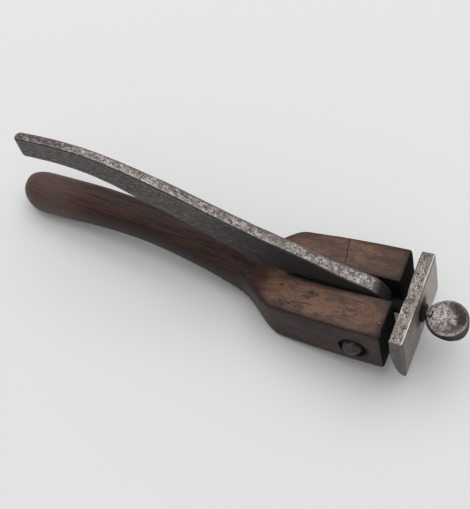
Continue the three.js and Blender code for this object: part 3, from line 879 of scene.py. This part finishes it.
def make_iron(name, look, add_marks=None):
    """Speckled iron; its up-facing faces are lighter, partly as wear and partly as painted light."""
    material, tree, shader, place, facing = new_material(name)
    upwards = split(tree, facing)[2]
    # faces that look up get the lighter colours: partly wear, partly painted light
    up_facing_wear_and_light = soft_mask(tree, upwards, *UPPER_FACING)
    marks = place_group(tree, speckle_group, position=stretched(tree, place, look["stretch"]),
                        speckle_size=look["speckle"], stain_size=look["stain"])
    side_marks = place_group(tree, speckle_group, position=stretched(tree, place, look["side_stretch"]),
                             speckle_size=look["speckle"], stain_size=look["stain"])
    bright = mix_colour(tree, soft_mask(tree, marks["Speckle"], *BRIGHT_STEP), look["dark"], look["light"])
    stained = times(tree, soft_mask(tree, marks["Stain"], *STAIN_STEP), look["stain_cover"])
    bright = mix_colour(tree, stained, bright, look["stain_colour"])
    dull = mix_colour(tree, soft_mask(tree, side_marks["Speckle"], *DULL_STEP), look["side_dark"],
                      look["side_light"])
    colour = mix_colour(tree, up_facing_wear_and_light, dull, bright)
    dead = 0.0
    if add_marks:
        colour, dead = add_marks(tree, colour, place, facing, marks)
    clean = math_node(tree, "SUBTRACT", 1.0, dead)
    bare_edge = times(tree, attribute(tree, "edge"), clean, look["edge_cover"])
    colour = mix_colour(tree, bare_edge, colour, look["edge_light"])
    dirty = times(tree, attribute(tree, "hollow"), HOLLOW_DIRT)
    colour = mix_colour(tree, dirty, colour, look["side_dark"])
    tree.links.new(colour, shader.inputs["Base Color"])
    rough = add_node(tree, "MapRange", None, value=marks["Speckle"], from_min=ROUGH_SPECKLE,
                     from_max=SMOOTH_SPECKLE, to_min=look["rough"], to_max=look["smooth"]).outputs[0]
    if add_marks:
        rough = mix_value(tree, dead, rough, 1.0)
        tree.links.new(mix_value(tree, dead, look["metal"], 0.0), shader.inputs["Metallic"])
    tree.links.new(rough, shader.inputs["Roughness"])
    shader.inputs["Metallic"].default_value = look["metal"]
    bump = add_node(tree, "Bump", None, strength=IRON_BUMP, distance=IRON_BUMP_DEPTH,
                    height=marks["Height"])
    tree.links.new(bump.outputs[0], shader.inputs["Normal"])
    return material


PIN_LOOK = {
    "dark": paint(50, 46, 45), "light": paint(92, 87, 85), "speckle": 0.8, "stretch": (1, 1, 1),
    "stain_colour": paint(52, 42, 38), "stain": 3.0, "stain_cover": 0.6,
    "side_dark": paint(44, 41, 41), "side_light": paint(76, 72, 71), "side_stretch": (1, 1, 1),
    "edge_light": paint(136, 130, 128), "edge_cover": 0.8, "metal": 0.7, "rough": 0.6, "smooth": 0.42,
}
pin_iron = make_iron("worn_pin_iron", PIN_LOOK)
print("material:", pin_iron.name)

# %% [markdown]
# The wooden body. On the real tool it is carved from one block: the handle is rounded with a knife and a
# scraper, and the head is left square with a slot sawn in from the front. So the copy is softened on a
# grid of half a millimetre, and then moved by broad, shallow waves, as a scraper leaves.

# %% The wooden body
BODY_GRID = 0.51 * MM
BODY_ROUNDS = 3
SCRAPER_WAVES = ((16.0, 0.20), (5.0, 0.08))
SCRAPER_STRETCH = (2.5, 1, 1)
BODY_SEED = 0

wooden_body = softened("wooden_body", "carved_body", BODY_GRID, BODY_ROUNDS)
roughen(wooden_body, SCRAPER_WAVES, BODY_SEED, SCRAPER_STRETCH)
print(wooden_body.name, "is softened and scraped")

# %% [markdown]
# Woodworm has left a group of small holes in the near prong, and the prong's front corner is worn round.
# Both are real shape. Each hole pulls the points round its centre down into the wood, under the black
# spot that the material draws there. The corner is lowered towards its tip.

# %% Worm holes and the worn corner
HOLE_DEPTH = 0.6
HOLE_FLOOR_SHARE = 0.3
CORNER = (14.6, -24.4)
CORNER_REACH = 4.5
CORNER_WEAR = 1.1
TOP_BAND = 2.0
TOP_FACING = 0.5
BODY_PROUD = 0.06
MARGIN_ROUNDS = 24

points, normals = points_of(wooden_body)
on_top = smooth_step(TOP - TOP_BAND, TOP - TOP_BAND / 2, points[:, 2]) * (normals[:, 2] > TOP_FACING)
hole = np.zeros(len(points))
for centre_x, centre_y, radius in WORM_HOLES:
    away = np.hypot(points[:, 0] - centre_x, points[:, 1] - centre_y)
    hole = np.maximum(hole, smooth_step(radius, radius * HOLE_FLOOR_SHARE, away) * on_top)
points[:, 2] -= hole * HOLE_DEPTH
corner_away = np.hypot(points[:, 0] - CORNER[0], points[:, 1] - CORNER[1])
points[:, 2] -= CORNER_WEAR * smooth_step(CORNER_REACH, 0, corner_away) * on_top
move_points(wooden_body, points)

keep_edges(wooden_body, BODY_PROUD, MARGIN_ROUNDS)
finish_piece(wooden_body, "wooden_body", "body", dark_wood)

# %% [markdown]
# The lever's finish. Its top is bright along the near side, partly where hands rub it and partly as painted
# light. It is brown at the tip and along the far side, where the brown is painted shade on the top's far
# slope, with a thin dark line just inside the near arris. Its nose and the part that lies in the slot are
# painted nearly black as painted shade in the fork and the slot. Places across the bar are shares, from 0 at
# the near side to 1 at the far side, because the bar bows and changes its width.

# %% The lever's finish
LEVER_LOOK = {
    "dark": paint(62, 56, 54), "light": paint(178, 170, 167), "speckle": 0.46, "stretch": (0.8, 1, 1),
    "stain_colour": paint(104, 92, 87), "stain": 7.0, "stain_cover": 0.55,
    "side_dark": paint(50, 48, 48), "side_light": paint(114, 109, 108), "side_stretch": (0.55, 1, 1.6),
    "edge_light": paint(176, 170, 167), "edge_cover": 0.65, "metal": 0.75, "rough": 0.62, "smooth": 0.38,
}
# brown at the tip, and painted shade on the top's far slope
BROWN_AND_SHADE = paint(78, 67, 65)
LINE_BLACK = paint(44, 41, 41)
# painted shade on the nose in the fork and on the part in the slot
NOSE_AND_SLOT_SHADE = paint(26, 24, 23)
LEVER_TOP = (0.3, 0.6)
FAR_SHARES = (0.66, 0.86)
FAR_RAGGED = 0.5
FAR_SHADE_COVER = 0.75
TIP_SPAN = (-120.0, -142.0)
TIP_SPECKLE = (0.60, 0.50)
TIP_COVER = 0.95
LINE_SHARES = (0.05, 0.10)
LINE_SOFT_SHARE = 0.03
LINE_FACING = (0.0, 0.4)
LINE_SPAN = (-8.0, -20.0)
LINE_COVER = 0.9
NOSE_SPAN = (3.0, 7.5)
IN_SLOT_SPAN = (-90.0, -30.0)
LEVER_SIDE = (0.6, 0.3)
IN_SLOT_SHADE_COVER = 0.90


def lever_marks(tree, colour, place, facing, marks):
    """Painted shade on the top's far side, the nose and the slot part; a dark near line and a brown tip."""
    x = split(tree, place)[0]
    upwards = split(tree, facing)[2]
    aside = attribute(tree, "aside")
    on_top = soft_mask(tree, upwards, *LEVER_TOP)
    unsteady = times(tree, centred(tree, marks["Stain"]), FAR_RAGGED)
    ragged = math_node(tree, "ADD", aside, unsteady)
    # painted shade: the top's far side is browner
    far = times(tree, soft_mask(tree, ragged, *FAR_SHARES), on_top, FAR_SHADE_COVER)
    colour = mix_colour(tree, far, colour, BROWN_AND_SHADE)
    tip = times(tree, soft_mask(tree, x, *TIP_SPAN), on_top, soft_mask(tree, marks["Speckle"], *TIP_SPECKLE),
                TIP_COVER)
    colour = mix_colour(tree, tip, colour, BROWN_AND_SHADE)
    line = times(tree, band(tree, aside, *LINE_SHARES, LINE_SOFT_SHARE),
                 soft_mask(tree, upwards, *LINE_FACING), soft_mask(tree, x, *LINE_SPAN), LINE_COVER)
    colour = mix_colour(tree, line, colour, LINE_BLACK)
    # painted shade on the nose and on the part in the slot
    nose_shade = soft_mask(tree, x, *NOSE_SPAN)
    colour = mix_colour(tree, nose_shade, colour, NOSE_AND_SLOT_SHADE)
    lever_slot_shade = times(tree, soft_mask(tree, x, *IN_SLOT_SPAN), soft_mask(tree, upwards, *LEVER_SIDE),
                    IN_SLOT_SHADE_COVER)
    colour = mix_colour(tree, lever_slot_shade, colour, NOSE_AND_SLOT_SHADE)
    return colour, math_node(tree, "MAXIMUM", nose_shade, math_node(tree, "MAXIMUM", line, lever_slot_shade))


lever_iron = make_iron("lever_iron", LEVER_LOOK, lever_marks)
print("material:", lever_iron.name)

# %% [markdown]
# The lever itself is one forging: a bar with a nose in front and an eye round the pin. Its faces are a
# little uneven from the hammer, in humps about a centimetre wide. For the finish, each point keeps how far
# across the bar it lies. The bar is taken in short stations along X, each with its own near and far side.

# %% The iron lever
LEVER_GRID = 0.34 * MM
LEVER_ROUNDS = 4
HAMMER_WAVES = ((9.0, 0.16), (3.0, 0.06))
STATION = 2.0
LEVER_SEED = 5
LEVER_PROUD = 0.05


def keep_aside(piece):
    """Keeps how far across the bar each point lies, from 0 at the near side to 1 at the far side."""
    points, _ = points_of(piece)
    station = ((points[:, 0] - points[:, 0].min()) / STATION).astype(int)
    near = np.full(station.max() + 1, np.inf)
    far = -near
    np.minimum.at(near, station, points[:, 1])
    np.maximum.at(far, station, points[:, 1])
    keep_value(piece, "aside", (points[:, 1] - near[station]) / (far - near)[station])


lever = softened("lever", "forged_lever", LEVER_GRID, LEVER_ROUNDS)
roughen(lever, HAMMER_WAVES, LEVER_SEED)
keep_edges(lever, LEVER_PROUD)
keep_aside(lever)
finish_piece(lever, "lever", "lever", lever_iron)

# %% [markdown]
# The jaw plate's finish. The file has left streaks along its top, which are speckles stretched along Y. A
# bright burr, broken here and there, runs along the top's outer arris, with a painted shadow line under it
# and another down the outer face's near corner. The outer face is paler beyond the screw, painted shade
# lies round the collar, the near end is grey, and the back, which faces the head across the gap, is painted
# dark as painted shade.

# %% The jaw plate's finish
PLATE_LOOK = {
    "dark": paint(48, 42, 39), "light": paint(184, 175, 168), "speckle": 0.30, "stretch": (1, 0.30, 1),
    "stain_colour": paint(112, 98, 90), "stain": 4.0, "stain_cover": 0.5,
    "side_dark": paint(92, 87, 84), "side_light": paint(150, 143, 138), "side_stretch": (1, 1.0, 0.35),
    "edge_light": paint(196, 188, 181), "edge_cover": 0.30, "metal": 0.72, "rough": 0.60, "smooth": 0.40,
}
END_BROWN = paint(82, 70, 66)
BURR_LIGHT = paint(222, 215, 208)
FAR_LIGHT = paint(178, 170, 164)
END_GREY = paint(74, 70, 69)
# painted shade round the collar
COLLAR_SHADE = paint(40, 34, 32)
# painted shade on the back, across the gap from the head
GAP_SHADE_DARK = paint(34, 31, 31)
# painted shadow line under the burr and down the near corner
PAINTED_SHADOW_LINE = paint(40, 36, 35)
PLATE_TOP = 13.45
PLATE_OUTER = 25.15
CORNER_LINE = -24.2
SCREW_PLACE = (25.0, 0.8, 0.8)
END_SPAN = (9.0, 20.0)
END_FACING = (0.5, 0.8)
END_BROWN_COVER = 0.45
BURR_LINE = (PLATE_OUTER - 0.9, PLATE_OUTER - 0.4)
BURR_FACING = (0.2, 0.5)
BURR_BREAKS = (0.60, 0.45)
BURR_COVER = 0.75
OUTSIDE_FACING = (0.5, 0.8)
PALER_RAGGED = 16.0
PALER_FAR_SIDE = (-5.0, 12.0)
PALER_FACE_COVER = 0.75
NEAR_END_FACING = (-0.5, -0.8)
NEAR_END_COVER = 0.65
CORNER_WIDTH = 0.9
CORNER_SHADOW_COVER = 0.75
COLLAR_SHADE_REACH = (9.5, 5.0)
COLLAR_SHADE_COVER = 0.85
UNDER_BURR = (PLATE_TOP - 1.6, PLATE_TOP - 0.8)
UNDER_BURR_SOFT = 0.3
UNDER_BURR_COVER = 0.95
BACK_FACING = (-0.35, -0.75)


def plate_marks(tree, colour, place, facing, marks):
    """A bright burr, painted shadow lines, painted shade round the collar and on the back, and a darker end.
    """
    forwards, away_from_us, upwards = split(tree, facing)
    x, y, z = split(tree, place)
    brown_end = times(tree, soft_mask(tree, y, *END_SPAN), soft_mask(tree, upwards, *END_FACING),
                      END_BROWN_COVER)
    colour = mix_colour(tree, brown_end, colour, END_BROWN)
    burr = times(tree, soft_mask(tree, x, *BURR_LINE), soft_mask(tree, upwards, *BURR_FACING),
                 soft_mask(tree, marks["Stain"], *BURR_BREAKS), BURR_COVER)
    colour = mix_colour(tree, burr, colour, BURR_LIGHT)
    off_screw = distance(tree, place, SCREW_PLACE)
    outside = soft_mask(tree, forwards, *OUTSIDE_FACING)
    # the outer face is paler towards the far side, with a ragged border
    unsteady = times(tree, centred(tree, marks["Stain"]), PALER_RAGGED)
    far_side = soft_mask(tree, math_node(tree, "ADD", y, unsteady), *PALER_FAR_SIDE)
    paler_far_side = times(tree, outside, far_side, PALER_FACE_COVER)
    colour = mix_colour(tree, paler_far_side, colour, FAR_LIGHT)
    near_end = times(tree, soft_mask(tree, away_from_us, *NEAR_END_FACING), NEAR_END_COVER)
    colour = mix_colour(tree, near_end, colour, END_GREY)
    # painted shadow line down the near corner
    corner_shadow_line = times(tree, soft_mask(tree, y, CORNER_LINE + CORNER_WIDTH, CORNER_LINE), outside, CORNER_SHADOW_COVER)
    colour = mix_colour(tree, corner_shadow_line, colour, PAINTED_SHADOW_LINE)
    # painted shade round the collar
    dirt = times(tree, soft_mask(tree, off_screw, *COLLAR_SHADE_REACH), outside, COLLAR_SHADE_COVER)
    colour = mix_colour(tree, dirt, colour, COLLAR_SHADE)
    # painted shadow line under the burr
    under_burr_shadow = times(tree, band(tree, z, *UNDER_BURR, UNDER_BURR_SOFT), outside, UNDER_BURR_COVER)
    colour = mix_colour(tree, under_burr_shadow, colour, PAINTED_SHADOW_LINE)
    # painted shade on the back
    back_shade = soft_mask(tree, forwards, *BACK_FACING)
    colour = mix_colour(tree, back_shade, colour, GAP_SHADE_DARK)
    return colour, math_node(tree, "MAXIMUM", back_shade, math_node(tree, "MAXIMUM", dirt, under_burr_shadow))


plate_iron = make_iron("plate_iron", PLATE_LOOK, plate_marks)
print("material:", plate_iron.name)

# %% [markdown]
# The plate itself is a thick piece of bar iron, filed flat where it meets the nut. Hammering has turned up
# the burr along the top's outer arris, in uneven lengths, and a knock has dented the inner arris near the
# middle. Both are moved into the mesh, because they show in its outline.

# %% The jaw plate
PLATE_GRID = 0.30 * MM
PLATE_ROUNDS = 3
PLATE_WAVES = ((7.0, 0.22), (2.5, 0.07))
PLATE_SEED = 11
PLATE_PROUD = 0.05
PLATE_INNER = 18.75
DENT_PLACE = -0.3
DENT_REACH = 3.0
DENT_DEPTH = 0.7
DENT_BAND = 2.0
DENT_HEIGHT = (PLATE_TOP - 6.0, PLATE_TOP - 0.5)
BURR_REACH = 0.6
BURR_RISE = 0.35
BURR_WIDTH = 4.0
BURR_SEED = 12
BURR_LEAST = 0.6
BURR_BAND = (PLATE_TOP - 1.2, PLATE_TOP - 0.4)

jaw_plate = softened("jaw_plate", "forged_jaw_plate", PLATE_GRID, PLATE_ROUNDS)
roughen(jaw_plate, PLATE_WAVES, PLATE_SEED)
points, normals = points_of(jaw_plate)
high = smooth_step(*DENT_HEIGHT, points[:, 2])
inner = smooth_step(PLATE_INNER + DENT_BAND, PLATE_INNER, points[:, 0])
dent = np.exp(-((points[:, 1] - DENT_PLACE) / DENT_REACH) ** 2)
points[:, 0] += DENT_DEPTH * dent * high * inner
outer = smooth_step(PLATE_OUTER - BURR_REACH, PLATE_OUTER, points[:, 0])
ragged = BURR_LEAST + (1 - BURR_LEAST) * waves(points, BURR_WIDTH, BURR_SEED)
points[:, 2] += BURR_RISE * outer * smooth_step(*BURR_BAND, points[:, 2]) * ragged
move_points(jaw_plate, points)
keep_edges(jaw_plate, PLATE_PROUD)
finish_piece(jaw_plate, "jaw_plate", "jaw", plate_iron)

# %% [markdown]
# The thumbscrew's finish. The hollow of its scoop is bright on the near side, partly rubbed and partly as
# painted light, and has brown stains beyond, which are soft patches at fixed places with ragged borders. A
# painted highlight runs along the rim's near side, and the wall under the rim and the underside are painted
# dark as painted shade. The collar, the neck and the shank are painted black as painted shade, but for one
# painted glint on the neck's top.

# %% The thumbscrew's finish
SCREW_LOOK = {
    "dark": paint(86, 79, 76), "light": paint(192, 185, 181), "speckle": 0.55, "stretch": (1, 1, 1),
    "stain_colour": paint(104, 92, 87), "stain": 3.2, "stain_cover": 0.5,
    "side_dark": paint(50, 46, 45), "side_light": paint(84, 78, 76), "side_stretch": (1, 1, 1),
    "edge_light": paint(200, 193, 188), "edge_cover": 0.30, "metal": 0.72, "rough": 0.58, "smooth": 0.40,
}
DISH_STAINS = (((39.8, -1.2, 0), 3.4), ((39.6, 7.4, 0), 4.2), ((44.5, 3.0, 0), 5.0))
STAIN_BROWN = paint(84, 72, 68)
STAIN_RAGGED = 9.0
STAIN_CORE_SHARE = 0.5
STAIN_COVER = 0.8
# painted shade: collar, neck and shank, the wall under the rim and the underside
PAINTED_SHADE_BLACK = paint(16, 14, 14)
NECK_END = 27.4
SCREW_NECK_SHADE_SPAN = (NECK_END + 1.4, NECK_END - 0.2)
# a painted glint on the neck's top
GLINT_PLACE = (26.2, 3.0, 4.2)
GLINT_REACH = 1.9
GLINT_CORE = GLINT_REACH * 0.4
GLINT_COVER = 0.6
BOWL_AXIS = (36.95, 0.8, 0)
FLAT = (1, 1, 0)
RIM_LINE = 9.0
# painted highlight on the rim's near side, and for the glint
PAINTED_HIGHLIGHT = paint(214, 207, 202)
RIM_HALF_WIDTH = 0.1
RIM_SOFT = 0.2
RIM_ACROSS = (5.0, -3.0)
RIM_FACING = (0.2, 0.5)
RIM_ALONG = (31.0, 38.0)
RIM_BREAKS = (0.40, 0.50)
RIM_HIGHLIGHT_COVER = 0.75
# painted shade on the wall under the rim and on the underside
WALL_STEP = (RIM_LINE + 0.1, RIM_LINE + 0.4)
WALL_SHADE_COVER = 0.9
WALL_END_SPAN = (38.0, 44.5)
WALL_END_SHADE = 0.35
UNDERSIDE = (0.30, 0.10)
UNDERSIDE_SHADE_COVER = 0.7


def screw_marks(tree, colour, place, facing, marks):
    """Brown stains, a painted rim highlight and glint, and painted shade on neck, shank, outer wall and
    underside.
    """
    unsteady = times(tree, centred(tree, marks["Stain"]), STAIN_RAGGED)
    for centre, reach in DISH_STAINS:
        ragged_away = math_node(tree, "ADD", distance(tree, place, centre), unsteady)
        stain = times(tree, soft_mask(tree, ragged_away, reach, reach * STAIN_CORE_SHARE), STAIN_COVER)
        colour = mix_colour(tree, stain, colour, STAIN_BROWN)
    x, y, _ = split(tree, place)
    upwards = split(tree, facing)[2]
    # painted glint on the neck, and painted shade on the collar, neck and shank
    glint = soft_mask(tree, distance(tree, place, GLINT_PLACE), GLINT_REACH, GLINT_CORE)
    shank_shade = times(tree, soft_mask(tree, x, *SCREW_NECK_SHADE_SPAN), math_node(tree, "SUBTRACT", 1.0, glint))
    colour = mix_colour(tree, times(tree, glint, GLINT_COVER), colour, PAINTED_HIGHLIGHT)
    colour = mix_colour(tree, shank_shade, colour, PAINTED_SHADE_BLACK)
    off_axis = distance(tree, stretched(tree, place, FLAT), BOWL_AXIS)
    # painted highlight along the rim's near side
    rim_highlight = times(tree, band(tree, off_axis, RIM_LINE - RIM_HALF_WIDTH, RIM_LINE + RIM_HALF_WIDTH, RIM_SOFT),
                soft_mask(tree, y, *RIM_ACROSS), soft_mask(tree, upwards, *RIM_FACING),
                soft_mask(tree, x, *RIM_ALONG), soft_mask(tree, marks["Speckle"], *RIM_BREAKS), RIM_HIGHLIGHT_COVER)
    colour = mix_colour(tree, rim_highlight, colour, PAINTED_HIGHLIGHT)
    # painted shade on the wall under the rim and on the underside
    outer_wall_shade = times(tree, soft_mask(tree, off_axis, *WALL_STEP), WALL_SHADE_COVER)
    underside_shade = times(tree, soft_mask(tree, upwards, *UNDERSIDE), UNDERSIDE_SHADE_COVER)
    less_shade_at_end = mix_value(tree, soft_mask(tree, x, *WALL_END_SPAN), 1.0, WALL_END_SHADE)
    shade_below = times(tree, math_node(tree, "MAXIMUM", outer_wall_shade, underside_shade), less_shade_at_end)
    colour = mix_colour(tree, shade_below, colour, PAINTED_SHADE_BLACK)
    return colour, math_node(tree, "MAXIMUM", shank_shade, shade_below)


screw_iron = make_iron("screw_iron", SCREW_LOOK, screw_marks)
print("material:", screw_iron.name)

# %% [markdown]
# The thumbscrew itself was forged in one with its thumb-piece, a deep scoop whose collar bears on the
# plate. The hollow deepens towards its outer end, so its points are lowered there while the rim stays.

# %% The thumbscrew
SCREW_GRID = 0.22 * MM
SCREW_ROUNDS = 3
THUMB_WAVES = ((3.5, 0.12), (1.2, 0.04))
SCREW_SEED = 13
SCREW_PROUD = 0.04
BOWL_RADIUS = 9.7
DISH_DEEPER = 2.2
DISH_MARGIN = 1.2
DISH_FLOOR = BOWL_RADIUS * 0.3
DISH_FACING = 0.2
OUTER_SHARES = (0.1, 0.9)

thumbscrew = softened("thumbscrew", "forged_thumbscrew", SCREW_GRID, SCREW_ROUNDS)
roughen(thumbscrew, THUMB_WAVES, SCREW_SEED)
points, normals = points_of(thumbscrew)
off_middle = np.hypot(points[:, 0] - BOWL_AXIS[0], points[:, 1] - BOWL_AXIS[1])
outward = np.clip((points[:, 0] - BOWL_AXIS[0]) / BOWL_RADIUS, -1, 1) / 2 + 0.5
inside = smooth_step(BOWL_RADIUS - DISH_MARGIN, DISH_FLOOR, off_middle) * (normals[:, 2] > DISH_FACING)
points[:, 2] -= DISH_DEEPER * inside * smooth_step(*OUTER_SHARES, outward)
move_points(thumbscrew, points)
print("the hollow is up to", DISH_DEEPER, "mm deeper toward its outer end")
keep_edges(thumbscrew, SCREW_PROUD)
finish_piece(thumbscrew, "thumbscrew", "screw", screw_iron)

# %% [markdown]
# The pivot pin is a rod whose ends were hammered over into rough domes. Only the near dome shows, at the
# foot of its recess, round which painted shade lies. It gets the same treatment as the thumbscrew, on the
# same fine grid.

# %% The pivot pin
PIN_GRID = 0.22 * MM
PIN_ROUNDS = 3
PIN_WAVES = ((3.0, 0.22), (1.2, 0.06))
PIN_SEED = 17
PIN_PROUD = 0.04

pivot_pin = softened("pivot_pin", "riveted_pin", PIN_GRID, PIN_ROUNDS)
roughen(pivot_pin, PIN_WAVES, PIN_SEED)
keep_edges(pivot_pin, PIN_PROUD)
finish_piece(pivot_pin, "pivot_pin", "body", pin_iron)

# %% [markdown]
# Two small solids keep their own mesh and get a finish: the ring behind the jaw plate, which is hardly
# seen, and the thin brass pin that shows as a small bright dot in the near prong.

# %% The ring and the brass pin
BRASS_LIGHT = paint(128, 108, 76)
BRASS_DARK = paint(80, 64, 46)
BRASS_SPECKLE = 0.5
BRASS_STAIN = 2.0
BRASS_METAL = 0.8
BRASS_ROUGH = 0.45


def make_brass():
    """Dull brass with a little tarnish."""
    material, tree, shader, place, _ = new_material("brass")
    marks = place_group(tree, speckle_group, position=place, speckle_size=BRASS_SPECKLE,
                        stain_size=BRASS_STAIN)
    colour = mix_colour(tree, marks["Speckle"], BRASS_DARK, BRASS_LIGHT)
    tree.links.new(colour, shader.inputs["Base Color"])
    shader.inputs["Metallic"].default_value = BRASS_METAL
    shader.inputs["Roughness"].default_value = BRASS_ROUGH
    return material


def refinish(node, material):
    """Gives a solid that stays its own material."""
    solid = frame["nodes"][node]
    solid.data.materials.clear()
    solid.data.materials.append(material)
    print(node, "keeps its mesh")


refinish("retaining_ring", pin_iron)
refinish("brass_pin", make_brass())
